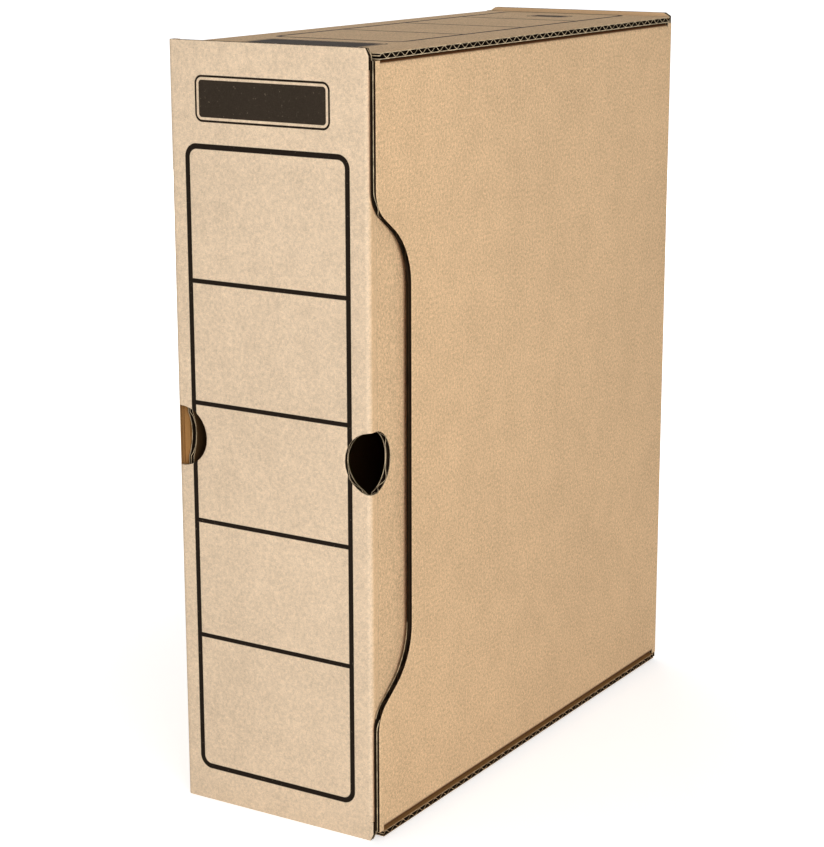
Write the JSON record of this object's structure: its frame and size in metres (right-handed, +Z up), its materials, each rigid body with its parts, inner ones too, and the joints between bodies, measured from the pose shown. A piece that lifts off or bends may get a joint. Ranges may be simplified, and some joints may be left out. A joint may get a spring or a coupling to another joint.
{
  "type": "archive box",
  "caption": "Upright corrugated-board archive box for A4 papers: the narrow spine opens as a door on a fold, and its tuck wing slides in beside the recessed side.",
  "frame": {"origin": "middle of the base, at the height of the lowest rims", "axes": "+Z up, -Y out of the narrow spine, +X out of the side with the long recess"},
  "size_m": [0.1, 0.262, 0.327],
  "materials": {
    "kraft_board": "matt brown kraft liner on corrugated board",
    "kraft_spine": "matt brown kraft liner with plain dark ruled lines",
    "kraft_fold": "crushed fold of the kraft liner",
    "kraft_inner": "uncoated inner liner",
    "glue": "dried starch glue"
  },
  "bodies": {
    "carton": {"left_side_panel": "kraft_board", "right_side_panel": "kraft_board", "back_panel": "kraft_board", "top_outer_flap": "kraft_board", "top_inner_flap": "kraft_inner", "bottom_outer_flap": "kraft_board", "bottom_inner_flap": "kraft_inner", "hinge_lining": "kraft_inner", "crease_front_left": "kraft_fold", "crease_back_left": "kraft_fold", "crease_back_right": "kraft_fold", "crease_top_left": "kraft_fold", "crease_bottom_left": "kraft_fold", "crease_top_right": "kraft_fold", "crease_bottom_right": "kraft_fold", "glue_line_top": "glue", "glue_line_bottom": "glue", "glue_line_lining": "glue"},
    "door": {"spine_panel": "kraft_spine", "crease_front_right_lower": "kraft_fold", "crease_front_right_upper": "kraft_fold"},
    "wing": {"tuck_wing": "kraft_inner"}
  },
  "joints": [
    {"name": "door_hinge", "type": "hinge", "parent": "carton", "child": "door", "pos_m": [-0.0494, -0.1304, 0], "axis": [0, 0, -1], "range_deg": [0, 110]},
    {"name": "wing_fold", "type": "hinge", "parent": "door", "child": "wing", "pos_m": [0.0439, -0.1282, 0], "axis": [0, 0, 1], "range_deg": [0, 60.5]}
  ],
  "couplings": [
    {"joint": "wing_fold", "follows": "door_hinge", "ratio": 0.55}
  ]
}
